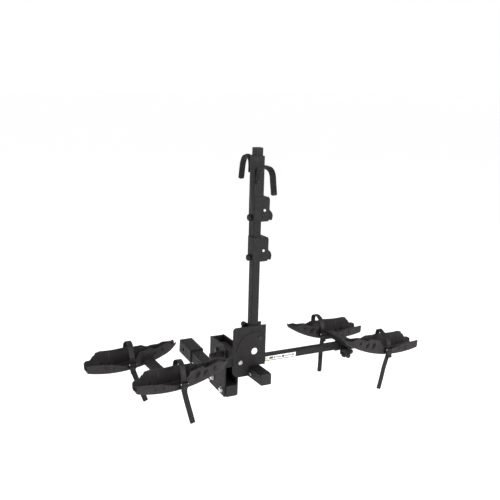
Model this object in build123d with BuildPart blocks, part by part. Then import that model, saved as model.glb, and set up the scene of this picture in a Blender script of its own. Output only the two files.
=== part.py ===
from build123d import *
import os
from math import atan2, cos, degrees, pi, radians, sin, sqrt

# Hitch mounted platform rack for two bicycles.
# Millimetres, +Z up. Origin: centre of the hitch pin hole, on the shank's axis. +Y points towards the
# vehicle; the bicycles stand along X in two rows behind it. The shank rises towards the vehicle.

# ---- driving dimensions -------------------------------------------------------------------------
SHANK = 50.8
SHANK_WALL = 5.0
SHANK_RISE = 5.0
SHANK_NEAR = -438.0
SHANK_FAR = 50.0
SLEEVE = 63.5
SLEEVE_NEAR = -81.0
SLEEVE_FAR = 45.0
PIN_HOLE_R = 8.15

PLATE_X = SHANK / 2
RISER_T = 6.0
RISER_NEAR = -437.0
RISER_FAR = -290.0
RISER_TOP = 158.0
TILT_Y = -357.0
TILT_Z = 117.5
TILT_R = 8.0
LOCK_Y = -410.0
LOCK_Z = 117.5

SPINE = 45.0
SPINE_BOTTOM = 95.0
SPINE_TOP = SPINE_BOTTOM + SPINE
SPINE_NEAR = -722.0
SPINE_FAR = -330.0

ROW_Y = -607.0
BAR_DEPTH = 36.0
BAR_HEIGHT = 25.0
BAR_END = 430.0
BAR_FRONT = ROW_Y - BAR_DEPTH / 2
SIDE_BOLT_Y = ROW_Y - 36.0
BAR_BACK = ROW_Y + BAR_DEPTH / 2
BAR_BOTTOM = SPINE_TOP + 7.0
BAR_TOP = BAR_BOTTOM + BAR_HEIGHT
PLATE_T = 5.0
PLATE_LEFT = -94.0
PLATE_RIGHT = 46.5
PLATE_BOTTOM = 102.0
PLATE_TOP = 302.0
BIG_HOLE = (-1.0, 199.0)
BIG_HOLE_R = 13.5
SMALL_BOLT = (-61.5, 161.0)

MAST = 32.0
MAST_WALL = 2.5
MAST_BOTTOM = 268.0
MAST_TOP = 976.0
FOLD = (21.0, 249.0)
FOLD_R = 6.0
FOOT_BOTTOM = 213.0
FOOT_DEPTH = 35.2
MAST_PIN = (-8.0, 285.0)

BLOCK_X = (-20.0, 46.0)
BLOCK_DEPTH = 44.0
SLIP = 0.4
NEAR_BLOCK = (706.0, 800.0)
FAR_BLOCK = (553.0, 648.0)
HOOK_X = -8.0
HOOK_W = 20.0
HOOK_T = 14.0

TRAY_BASE = 148.0
TRAY_R = 460.0
TRAY_HALF = 33.0
TRAY_WALL = 3.5
TRAY_OUT = -105.0
TRAY_IN = 245.0
ROW_OFFSET = 125.0
TRAY_X = {("left", "near"): -418.0, ("left", "far"): -518.0, ("right", "near"): 587.0, ("right", "far"): 482.0}
STRAP_X = {("left", "near"): -357.0, ("left", "far"): -458.0, ("right", "near"): 533.0, ("right", "far"): 380.0}
STRAP_TOP = {("left", "near"): 253.0, ("left", "far"): 255.0, ("right", "near"): 236.0, ("right", "far"): 254.0}
TAIL_TIP = {("left", "near"): 31.0, ("left", "far"): 31.0, ("right", "near"): 22.0, ("right", "far"): 25.0}
TAIL_LEAN = {("left", "near"): 13.0, ("left", "far"): 20.0, ("right", "near"): -19.8, ("right", "far"): -7.0}
STRAP_W = 20.0
STRAP_T = 3.4
ARM_X = {"left": -395.0, "right": 420.0}
ARM_W = 40.0
ARM_H = 20.0
ARM_BOTTOM = BAR_TOP + 0.4
ARM_REACH = 87.5
PINCH_Z = 141.0
BRACKET = {
    ("left", "near"): (154.0, 200.0, 24.0),
    ("left", "far"): (170.0, 200.0, 24.0),
    ("right", "near"): (ARM_BOTTOM, 210.0, 24.0),
    ("right", "far"): (156.0, 194.0, 20.0),
}

os.makedirs("parts", exist_ok=True)


def save(part, label):
    """Name a finished part and write it."""
    part.label = label
    export_step(part, f"parts/{label}.step")
    print(f"{label:24s} {len(part.solids())} {part.volume / 1000:9.1f} cm3")


def yz(x):
    """Plane across X, with local x along +Y and local y along +Z."""
    return Plane(origin=(x, 0, 0), x_dir=(0, 1, 0), z_dir=(1, 0, 0))


def xz(y):
    """Plane across Y, with local x along +X and local y along +Z; its normal is -Y."""
    return Plane(origin=(0, y, 0), x_dir=(1, 0, 0), z_dir=(0, -1, 0))


def block(x, y, z, mode=Mode.ADD):
    """Box from three (low, high) spans."""
    mid = [(a + b) / 2 for a, b in (x, y, z)]
    with Locations(Location(tuple(mid))):
        Box(x[1] - x[0], y[1] - y[0], z[1] - z[0], mode=mode)


def rod_x(x, y, z, r, mode=Mode.ADD):
    """Round bar along X between a pair of x values."""
    with Locations(Location(((x[0] + x[1]) / 2, y, z), (0, 90, 0))):
        Cylinder(r, x[1] - x[0], mode=mode)


def rod_y(x, y, z, r, mode=Mode.ADD):
    """Round bar along Y between a pair of y values."""
    with Locations(Location((x, (y[0] + y[1]) / 2, z), (90, 0, 0))):
        Cylinder(r, y[1] - y[0], mode=mode)


def hex_x(x, y, z, r):
    """Hexagon bar along X between a pair of x values."""
    ring = [(x[0], y + r * cos(k * pi / 3), z + r * sin(k * pi / 3)) for k in range(6)]
    add(Solid.extrude(Face(Wire.make_polygon(ring)), Vector(x[1] - x[0], 0, 0)))


def hex_y(x, y, z, r):
    """Hexagon bar along Y between a pair of y values."""
    ring = [(x + r * cos(k * pi / 3), y[0], z + r * sin(k * pi / 3)) for k in range(6)]
    add(Solid.extrude(Face(Wire.make_polygon(ring)), Vector(0, y[1] - y[0], 0)))


def shank_section(along):
    """Section plane of the shank at a distance along its axis."""
    rise = radians(SHANK_RISE)
    return Plane(origin=(0, along * cos(rise), along * sin(rise)), x_dir=(1, 0, 0), z_dir=(0, cos(rise), sin(rise)))


def shank_point(along, up):
    """(y, z) of a point on the shank's middle plane, up from its axis."""
    rise = radians(SHANK_RISE)
    return along * cos(rise) - up * sin(rise), along * sin(rise) + up * cos(rise)


def tray_bottom(s):
    """Height of a tray's underside at a distance from its lowest point."""
    return TRAY_BASE + TRAY_R - sqrt(TRAY_R**2 - s**2)


def ribbon(points, thickness):
    """Outline of a strip of even thickness around a smooth line of points, in the open BuildLine."""
    count = len(points)
    left, right = [], []
    for i, (a, b) in enumerate(points):
        c, d = points[max(i - 1, 0)]
        e, f = points[min(i + 1, count - 1)]
        length = sqrt((e - c) ** 2 + (f - d) ** 2)
        nx, ny = -(f - d) / length * thickness / 2, (e - c) / length * thickness / 2
        left.append((a + nx, b + ny))
        right.append((a - nx, b - ny))
    Spline(*left)
    Line(left[-1], right[-1])
    Spline(*reversed(right))
    Line(right[0], left[0])


# ---- hitch: everything fixed to the vehicle -----------------------------------------------------
PLATE_BOLTS = [shank_point(-408.0, -4.0), shank_point(-318.0, 11.0)]

with BuildPart() as shank:
    with BuildSketch(shank_section(SHANK_NEAR)):
        RectangleRounded(SHANK, SHANK, 5.0)
        RectangleRounded(SHANK - 2 * SHANK_WALL, SHANK - 2 * SHANK_WALL, 2.0, mode=Mode.SUBTRACT)
    extrude(amount=SHANK_FAR - SHANK_NEAR)
    with BuildSketch(shank_section(SHANK_FAR - 5.0)):
        Rectangle(SHANK - SHANK_WALL, SHANK - SHANK_WALL)
    extrude(amount=5.0)
    rod_x((-40, 40), 0, 0, PIN_HOLE_R, Mode.SUBTRACT)
    for y, z in PLATE_BOLTS:
        rod_x((-40, 40), y, z, 6.0, Mode.SUBTRACT)
save(shank.part, "hitch_shank")

with BuildPart() as sleeve:
    with BuildSketch(shank_section(SLEEVE_NEAR)):
        RectangleRounded(SLEEVE, SLEEVE, 6.0)
        RectangleRounded(SHANK, SHANK, 5.0, mode=Mode.SUBTRACT)
    extrude(amount=SLEEVE_FAR - SLEEVE_NEAR)
    rod_x((-40, 40), 0, 0, PIN_HOLE_R, Mode.SUBTRACT)
save(sleeve.part, "adapter_sleeve")

with BuildPart() as shank_cap:
    with BuildSketch(shank_section(SHANK_NEAR)):
        RectangleRounded(SHANK, SHANK, 5.0)
    extrude(amount=-5.0)
    with BuildSketch(shank_section(SHANK_NEAR)):
        RectangleRounded(SHANK - 2 * SHANK_WALL, SHANK - 2 * SHANK_WALL, 2.0)
    extrude(amount=12.0)
    chamfer(shank_cap.faces().sort_by(Axis.Y)[0].edges(), 2.0)
save(shank_cap.part, "shank_end_cap")

for side, name in ((-1, "left"), (1, "right")):
    inner = side * PLATE_X
    outer = side * (PLATE_X + RISER_T)
    with BuildPart() as riser:
        near_low = shank_point(RISER_NEAR, -SHANK / 2)
        far_low = shank_point(RISER_FAR, -SHANK / 2)
        with BuildSketch(yz(min(inner, outer))):
            with BuildLine():
                Polyline(
                    near_low,
                    far_low,
                    (RISER_FAR, RISER_TOP),
                    (RISER_NEAR + 14.0, RISER_TOP),
                    (RISER_NEAR, RISER_TOP - 14.0),
                    close=True,
                )
            make_face()
            for y, z in PLATE_BOLTS:
                with Locations((y, z)):
                    Circle(6.0, mode=Mode.SUBTRACT)
            with Locations((TILT_Y, TILT_Z)):
                Circle(TILT_R, mode=Mode.SUBTRACT)
            if side < 0:
                with Locations((LOCK_Y, LOCK_Z)):
                    Circle(5.4, mode=Mode.SUBTRACT)
        extrude(amount=RISER_T)
    save(riser.part, f"riser_plate_{name}")

SIDE = PLATE_X + RISER_T
with BuildPart() as web:
    block((-PLATE_X, PLATE_X), (RISER_FAR - 7.0, RISER_FAR - 1.0), (2.0, RISER_TOP - 1.0))
save(web.part, "riser_web")

with BuildPart() as riser_bolts:
    for y, z in PLATE_BOLTS:
        rod_x((-SIDE, SIDE + 12.0), y, z, 6.0)
        rod_x((-SIDE - 2.0, -SIDE), y, z, 12.0)
        hex_x((-SIDE - 9.5, -SIDE - 2.0), y, z, 10.5)
        rod_x((SIDE, SIDE + 2.0), y, z, 12.0)
        hex_x((SIDE + 2.0, SIDE + 11.0), y, z, 10.5)
save(riser_bolts.part, "riser_bolts")

with BuildPart() as tilt_bolt:
    rod_x((-SIDE, SIDE + 12.0), TILT_Y, TILT_Z, TILT_R)
    rod_x((-SIDE - 2.0, -SIDE), TILT_Y, TILT_Z, 14.0)
    hex_x((-SIDE - 8.5, -SIDE - 2.0), TILT_Y, TILT_Z, 12.0)
    rod_x((SIDE, SIDE + 2.0), TILT_Y, TILT_Z, 14.0)
    hex_x((SIDE + 2.0, SIDE + 10.0), TILT_Y, TILT_Z, 12.0)
save(tilt_bolt.part, "tilt_pivot_bolt")

with BuildPart() as tilt_bushes:
    for a, b in ((-PLATE_X, -PLATE_X + 2.5), (PLATE_X - 2.5, PLATE_X)):
        rod_x((a, b), TILT_Y, TILT_Z, 17.0)
        rod_x((a, b), TILT_Y, TILT_Z, TILT_R, Mode.SUBTRACT)
save(tilt_bushes.part, "tilt_bushes")

# sprung pin that locks the tilt, in a tube welded to the left plate
LOCK_LEFT = -SIDE - 34.0
with BuildPart() as tilt_housing:
    rod_x((LOCK_LEFT, -SIDE), LOCK_Y, LOCK_Z, 13.0)
    rod_x((LOCK_LEFT, -SIDE), LOCK_Y, LOCK_Z, 6.4, Mode.SUBTRACT)
    chamfer(tilt_housing.faces().sort_by(Axis.X)[0].edges(), 1.0)
save(tilt_housing.part, "tilt_pin_housing")

with BuildPart() as tilt_pin:
    rod_x((LOCK_LEFT - 6.0, -SPINE / 2 - 0.3), LOCK_Y, LOCK_Z, 5.0)
    rod_x((LOCK_LEFT - 24.0, LOCK_LEFT - 1.0), LOCK_Y, LOCK_Z, 12.0)
    fillet(tilt_pin.faces().sort_by(Axis.X)[0].edges(), 4.0)
save(tilt_pin.part, "tilt_pin")

# ---- platform: spine, plates and crossbar -------------------------------------------------------
with BuildPart() as spine:
    with BuildSketch(xz(SPINE_FAR)):
        with Locations((0, SPINE_BOTTOM + SPINE / 2)):
            RectangleRounded(SPINE, SPINE, 5.0)
            RectangleRounded(SPINE - 6.0, SPINE - 6.0, 2.5, mode=Mode.SUBTRACT)
    extrude(amount=SPINE_FAR - SPINE_NEAR)
    rod_x((-SPINE / 2 + 1.0, SPINE / 2 - 1.0), TILT_Y, TILT_Z, 13.0)
    rod_x((-SPINE / 2, SPINE / 2), TILT_Y, TILT_Z, TILT_R + 0.08, Mode.SUBTRACT)
    rod_x((-SPINE / 2, 0), LOCK_Y, LOCK_Z, 5.6, Mode.SUBTRACT)
    rod_x((-SPINE / 2, SPINE / 2), SIDE_BOLT_Y, SPINE_BOTTOM + 20.0, 4.0, Mode.SUBTRACT)
save(spine.part, "spine_tube")

with BuildPart() as spine_pad:
    block((-20.0, 20.0), (SPINE_NEAR + 3.0, BAR_FRONT - PLATE_T - 0.5), (SPINE_TOP, SPINE_TOP + 1.5))
    fillet(spine_pad.edges().filter_by(Axis.Z), 3.0)
save(spine_pad.part, "spine_top_pad")

with BuildPart() as front_plate:
    with BuildSketch(xz(BAR_FRONT)):
        with Locations(((PLATE_LEFT + PLATE_RIGHT) / 2, (PLATE_BOTTOM + PLATE_TOP) / 2)):
            Rectangle(PLATE_RIGHT - PLATE_LEFT, PLATE_TOP - PLATE_BOTTOM)
        with Locations(((PLATE_RIGHT - SPINE / 2 - 0.5) / 2, (PLATE_BOTTOM + SPINE_TOP) / 2)):
            Rectangle(PLATE_RIGHT + SPINE / 2 + 0.5, SPINE_TOP + 0.5 - PLATE_BOTTOM + 0.5, mode=Mode.SUBTRACT)
        with Locations(BIG_HOLE):
            Circle(BIG_HOLE_R, mode=Mode.SUBTRACT)
        with Locations(SMALL_BOLT):
            Circle(5.0, mode=Mode.SUBTRACT)
        with Locations(FOLD):
            Circle(FOLD_R, mode=Mode.SUBTRACT)
    extrude(amount=PLATE_T)
    low_left = front_plate.edges().filter_by(Axis.Y).group_by(Axis.X)[0].sort_by(Axis.Z)
    fillet(low_left[0], 30.0)
    fillet(front_plate.edges().filter_by(Axis.Y).group_by(Axis.X)[0].sort_by(Axis.Z)[-1:], 12.0)
    with BuildSketch(xz(BAR_FRONT - PLATE_T)):
        with Locations(BIG_HOLE):
            Circle(79.0)
            Circle(73.0, mode=Mode.SUBTRACT)
        with Locations((-26.0, BIG_HOLE[1] + 50.0)):
            Rectangle(134.0, 90.0, mode=Mode.INTERSECT)
    extrude(amount=2.4)
save(front_plate.part, "front_plate")

EAR = BAR_BACK
with BuildPart() as rear_plate:
    with BuildSketch(xz(EAR + PLATE_T)):
        with BuildLine():
            Polyline(
                (-62.0, SPINE_TOP + 1.0),
                (-4.0, SPINE_TOP + 1.0),
                (-4.0, 196.0),
                (10.0, 208.0),
                (PLATE_RIGHT, 208.0),
                (PLATE_RIGHT, PLATE_TOP),
                (-30.0, PLATE_TOP),
                (-62.0, 250.0),
                close=True,
            )
        make_face()
        with Locations(FOLD):
            Circle(FOLD_R, mode=Mode.SUBTRACT)
        with Locations(MAST_PIN):
            Circle(4.4, mode=Mode.SUBTRACT)
        with Locations(SMALL_BOLT):
            Circle(5.0, mode=Mode.SUBTRACT)
    extrude(amount=PLATE_T)
save(rear_plate.part, "rear_plate")

with BuildPart() as crossbar:
    with BuildSketch(yz(-BAR_END)):
        with Locations((ROW_Y, BAR_BOTTOM + BAR_HEIGHT / 2)):
            RectangleRounded(BAR_DEPTH, BAR_HEIGHT, 4.0)
            RectangleRounded(BAR_DEPTH - 5.0, BAR_HEIGHT - 5.0, 2.0, mode=Mode.SUBTRACT)
    extrude(amount=2 * BAR_END)
    block((-20.0, 20.0), (BAR_FRONT, BAR_BACK), (SPINE_TOP, BAR_BOTTOM))
    rod_y(SMALL_BOLT[0], (BAR_FRONT, BAR_BACK), SMALL_BOLT[1], 5.0, Mode.SUBTRACT)
save(crossbar.part, "crossbar")

with BuildPart() as caps:
    with BuildSketch(xz(SPINE_NEAR)):
        with Locations((0, SPINE_BOTTOM + SPINE / 2)):
            RectangleRounded(SPINE, SPINE, 5.0)
    extrude(amount=5.0)
    with BuildSketch(xz(SPINE_NEAR + 12.0)):
        with Locations((0, SPINE_BOTTOM + SPINE / 2)):
            RectangleRounded(SPINE - 6.0, SPINE - 6.0, 2.5)
    extrude(amount=12.0)
    chamfer(caps.faces().sort_by(Axis.Y)[0].edges(), 2.0)
    for side in (-1, 1):
        tip = side * BAR_END
        block(sorted((tip, tip + side * 4.0)), (BAR_FRONT, BAR_BACK), (BAR_BOTTOM, BAR_TOP))
        plug = sorted((tip - side * 12.0, tip))
        block(plug, (BAR_FRONT + 3.3, BAR_BACK - 3.3), (BAR_BOTTOM + 3.3, BAR_TOP - 3.3))
save(caps.part, "end_caps")

with BuildPart() as label_plate:
    block((50.0, 188.0), (BAR_FRONT - 0.6, BAR_FRONT), (BAR_BOTTOM + 4.2, BAR_TOP - 4.2))
save(label_plate.part, "label_plate")

FRONT = BAR_FRONT - PLATE_T
BACK = BAR_BACK + PLATE_T
with BuildPart() as frame_bolts:
    rod_y(SMALL_BOLT[0], (FRONT, BACK + 9.0), SMALL_BOLT[1], 5.0)
    rod_y(SMALL_BOLT[0], (FRONT - 2.0, FRONT), SMALL_BOLT[1], 8.5)
    hex_y(SMALL_BOLT[0], (FRONT - 5.5, FRONT - 2.0), SMALL_BOLT[1], 7.0)
    hex_y(SMALL_BOLT[0], (BACK, BACK + 8.0), SMALL_BOLT[1], 9.0)
    rod_x((-SPINE / 2, SPINE / 2 + 7.0), SIDE_BOLT_Y, SPINE_BOTTOM + 20.0, 4.0)
    hex_x((-SPINE / 2 - 5.0, -SPINE / 2), SIDE_BOLT_Y, SPINE_BOTTOM + 20.0, 7.4)
    hex_x((SPINE / 2, SPINE / 2 + 6.0), SIDE_BOLT_Y, SPINE_BOTTOM + 20.0, 7.4)
save(frame_bolts.part, "frame_bolts")

with BuildPart() as fold_bolt:
    rod_y(FOLD[0], (FRONT, BACK + 10.0), FOLD[1], FOLD_R)
    rod_y(FOLD[0], (FRONT - 3.5, FRONT), FOLD[1], 8.5)
    fillet(fold_bolt.faces().sort_by(Axis.Y)[0].edges(), 2.5)
    hex_y(FOLD[0], (BACK, BACK + 9.0), FOLD[1], 10.5)
save(fold_bolt.part, "mast_pivot_bolt")

with BuildPart() as mast_housing:
    rod_y(MAST_PIN[0], (BACK, BACK + 26.0), MAST_PIN[1], 10.0)
    rod_y(MAST_PIN[0], (BACK, BACK + 26.0), MAST_PIN[1], 5.0, Mode.SUBTRACT)
    chamfer(mast_housing.faces().sort_by(Axis.Y)[-1].edges(), 1.0)
save(mast_housing.part, "mast_pin_housing")

with BuildPart() as mast_pin:
    rod_y(MAST_PIN[0], (ROW_Y + FOOT_DEPTH / 2 + 0.3, BACK + 30.0), MAST_PIN[1], 4.0)
    rod_y(MAST_PIN[0], (BACK + 27.0, BACK + 46.0), MAST_PIN[1], 11.0)
    fillet(mast_pin.faces().sort_by(Axis.Y)[-1].edges(), 4.0)
save(mast_pin.part, "mast_pin")

# ---- folding mast -------------------------------------------------------------------------------
with BuildPart() as foot:
    with BuildSketch(xz(ROW_Y + FOOT_DEPTH / 2)):
        with BuildLine():
            Polyline(
                (-18.0, FOOT_BOTTOM + 10.0),
                (-8.0, FOOT_BOTTOM),
                (30.0, FOOT_BOTTOM),
                (36.0, FOOT_BOTTOM + 8.0),
                (36.0, MAST_BOTTOM - 10.0),
                (26.0, MAST_BOTTOM),
                (-18.0, MAST_BOTTOM),
                close=True,
            )
        make_face()
        with Locations(FOLD):
            Circle(FOLD_R + 0.08, mode=Mode.SUBTRACT)
    extrude(amount=FOOT_DEPTH)
    core = MAST - 2 * MAST_WALL
    with BuildSketch(Plane.XY.offset(MAST_BOTTOM)):
        with Locations((0, ROW_Y)):
            Rectangle(core, core)
    extrude(amount=60.0)
    rod_y(MAST_PIN[0], (ROW_Y, ROW_Y + 20.0), MAST_PIN[1], 4.5, Mode.SUBTRACT)
save(foot.part, "mast_foot")

with BuildPart() as mast:
    with BuildSketch(Plane.XY.offset(MAST_BOTTOM)):
        with Locations((0, ROW_Y)):
            RectangleRounded(MAST, MAST, 4.0)
            Rectangle(MAST - 2 * MAST_WALL, MAST - 2 * MAST_WALL, mode=Mode.SUBTRACT)
    extrude(amount=MAST_TOP - MAST_BOTTOM)
    rod_y(MAST_PIN[0], (ROW_Y, ROW_Y + 20.0), MAST_PIN[1], 4.5, Mode.SUBTRACT)
save(mast.part, "mast_tube")

with BuildPart() as mast_cap:
    with BuildSketch(Plane.XY.offset(MAST_TOP)):
        with Locations((0, ROW_Y)):
            RectangleRounded(MAST, MAST, 4.0)
    extrude(amount=5.0)
    with BuildSketch(Plane.XY.offset(MAST_TOP - 14.0)):
        with Locations((0, ROW_Y)):
            Rectangle(MAST - 2 * MAST_WALL, MAST - 2 * MAST_WALL)
    extrude(amount=14.0)
    fillet(mast_cap.faces().sort_by(Axis.Z)[-1].edges(), 2.5)
save(mast_cap.part, "mast_cap")


# ---- two hook carriages on the mast -------------------------------------------------------------
def mast_way(z):
    """Clearance hole for the mast through an open part."""
    reach = MAST + 2 * SLIP
    block((-reach / 2, reach / 2), (ROW_Y - reach / 2, ROW_Y + reach / 2), z, Mode.SUBTRACT)


LEVER_Y = (ROW_Y - 18.0, ROW_Y - 5.0)
LEVER_X = 40.0
for name, span in (("near", NEAR_BLOCK), ("far", FAR_BLOCK)):
    low, high = span
    with BuildPart() as carriage:
        with BuildSketch(xz(ROW_Y + BLOCK_DEPTH / 2)):
            with BuildLine():
                Polyline(
                    (BLOCK_X[0], low),
                    (BLOCK_X[1] - 6.0, low),
                    (BLOCK_X[1], low + 6.0),
                    (BLOCK_X[1], high - 11.0),
                    (BLOCK_X[1] - 3.0, high - 3.0),
                    (BLOCK_X[1] - 11.0, high),
                    (BLOCK_X[0], high),
                    close=True,
                )
            make_face()
        extrude(amount=BLOCK_DEPTH)
        fillet(carriage.edges().filter_by(Axis.Z).group_by(Axis.X)[0], 2.0)
        if name == "near":
            block((-20.0, 20.0), (ROW_Y - 20.0, ROW_Y + 20.0), (high, 951.0))
        mast_way((low, 952.0))
        rod_x((BLOCK_X[0], 0), ROW_Y, low + 15.0, 5.0, Mode.SUBTRACT)
        block((31.0, 50.0), (LEVER_Y[0] - 1.0, LEVER_Y[1] + 1.0), (low - 1.0, low + 50.0), Mode.SUBTRACT)
        rod_y(LEVER_X, (LEVER_Y[0] - 2.0, LEVER_Y[1] + 2.0), low + 38.0, 2.4)
    save(carriage.part, f"{name}_block")
    with BuildPart() as fasteners:
        rod_y(23.0, (ROW_Y - 26.0, ROW_Y - 22.0), low + 43.0, 6.0)
        rod_y(23.0, (ROW_Y + 22.0, ROW_Y + 26.0), low + 43.0, 6.0)
    save(fasteners.part, f"{name}_fasteners")
    trigger = [(LEVER_X + 1.0, low + 38.0), (54.0, low + 34.5), (60.5, low + 24.0), (60.0, low + 13.0), (57.0, low + 4.0)]
    with BuildPart() as lever:
        with BuildSketch(xz(LEVER_Y[1])):
            with BuildLine():
                ribbon(trigger, 6.0)
            make_face()
            with Locations((LEVER_X, low + 38.0)):
                Circle(5.6)
                Circle(2.46, mode=Mode.SUBTRACT)
        extrude(amount=LEVER_Y[1] - LEVER_Y[0])
    save(lever.part, f"{name}_lever")
    with BuildPart() as knob:
        rod_x((BLOCK_X[0] - 2.0, -MAST / 2 - SLIP - 0.1), ROW_Y, low + 15.0, 4.6)
        rod_x((BLOCK_X[0] - 14.0, BLOCK_X[0] - 1.0), ROW_Y, low + 15.0, 12.5)
        fillet(knob.faces().sort_by(Axis.X)[0].edges(), 3.0)
    save(knob.part, f"{name}_knob")

with BuildPart() as far_riser:
    block((-12.0, 12.0), (ROW_Y + 24.5, ROW_Y + 32.5), (FAR_BLOCK[1] - 60.0, 952.0))
    block((-14.0, 14.0), (ROW_Y + BLOCK_DEPTH / 2, ROW_Y + 24.5), (FAR_BLOCK[1] - 60.0, FAR_BLOCK[1] - 4.0))
    fillet(far_riser.edges().filter_by(Axis.Y).group_by(Axis.Z)[-1], 5.0)
save(far_riser.part, "far_riser")

# hook centrelines: distance from the row of the mast, and height
HOOKS = {
    "near": (
        [(21.0, 870.0), (29.0, 890.0), (46.0, 908.0), (75.0, 917.0), (96.0, 916.0)],
        [
            (96.7, 916.0), (104.0, 915.2), (112.0, 913.0), (124.0, 905.0),
            (132.0, 892.0), (136.0, 872.0), (141.0, 848.0), (146.0, 824.0),
        ],
    ),
    "far": (
        [(33.5, 905.0), (38.0, 925.0), (48.0, 940.0), (62.0, 945.0), (76.0, 941.0)],
        [(77.2, 940.6), (83.0, 938.2), (91.0, 931.0), (100.0, 915.0), (105.0, 894.0), (109.0, 872.0), (113.0, 852.0)],
    ),
}
for name, side, root in (("near", -1, 20.0), ("far", 1, 32.5)):
    path, drop = HOOKS[name]
    with BuildPart() as hook:
        with BuildSketch(yz(HOOK_X - HOOK_W / 2)):
            with BuildLine():
                ribbon([(ROW_Y + side * d, z) for d, z in path], HOOK_T)
            make_face()
            with Locations((ROW_Y + side * (root - 30.0), path[0][1])):
                Rectangle(60.0, 200.0, mode=Mode.SUBTRACT)
        extrude(amount=HOOK_W)
        block(
            (HOOK_X - HOOK_W / 2, HOOK_X + HOOK_W / 2),
            sorted((ROW_Y + side * root, ROW_Y + side * (root + 8.0))),
            (path[0][1] - 20.0, path[0][1] + 16.0),
        )
    save(hook.part, f"{name}_hook_arm")
    with BuildPart() as pad:
        with BuildSketch(yz(HOOK_X - HOOK_W / 2 - 1.0)):
            with BuildLine():
                ribbon([(ROW_Y + side * d, z) for d, z in drop], HOOK_T)
            make_face()
        extrude(amount=HOOK_W + 2.0)
    save(pad.part, f"{name}_hook_pad")

# ---- sliding arms, each with two wheel trays ----------------------------------------------------
LOW_WALL = [
    (-105, 34), (-60, 38), (-20, 37), (-5, 33), (10, 30), (30, 25), (66, 25),
    (78, 42), (92, 60), (136, 60), (152, 48), (190, 46), (245, 19),
]
HIGH_WALL = [
    (-105, 28), (-80, 36), (-66, 54), (-58, 66), (-40, 71), (60, 72),
    (90, 64), (112, 60), (150, 42), (200, 28), (245, 20),
]
FLOOR = [TRAY_OUT + (TRAY_IN - TRAY_OUT) * i / 8 for i in range(9)]
# slots through a wall: distance along the tray, height, length; slanted ones lean the same way everywhere
UPRIGHT = [(-40.0, 23.0, 16.0), (-8.0, 20.0, 14.0)]
SLANTED = [(120.0, 31.0, 22.0), (150.0, 29.0, 22.0), (184.0, 28.0, 12.0)]

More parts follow.
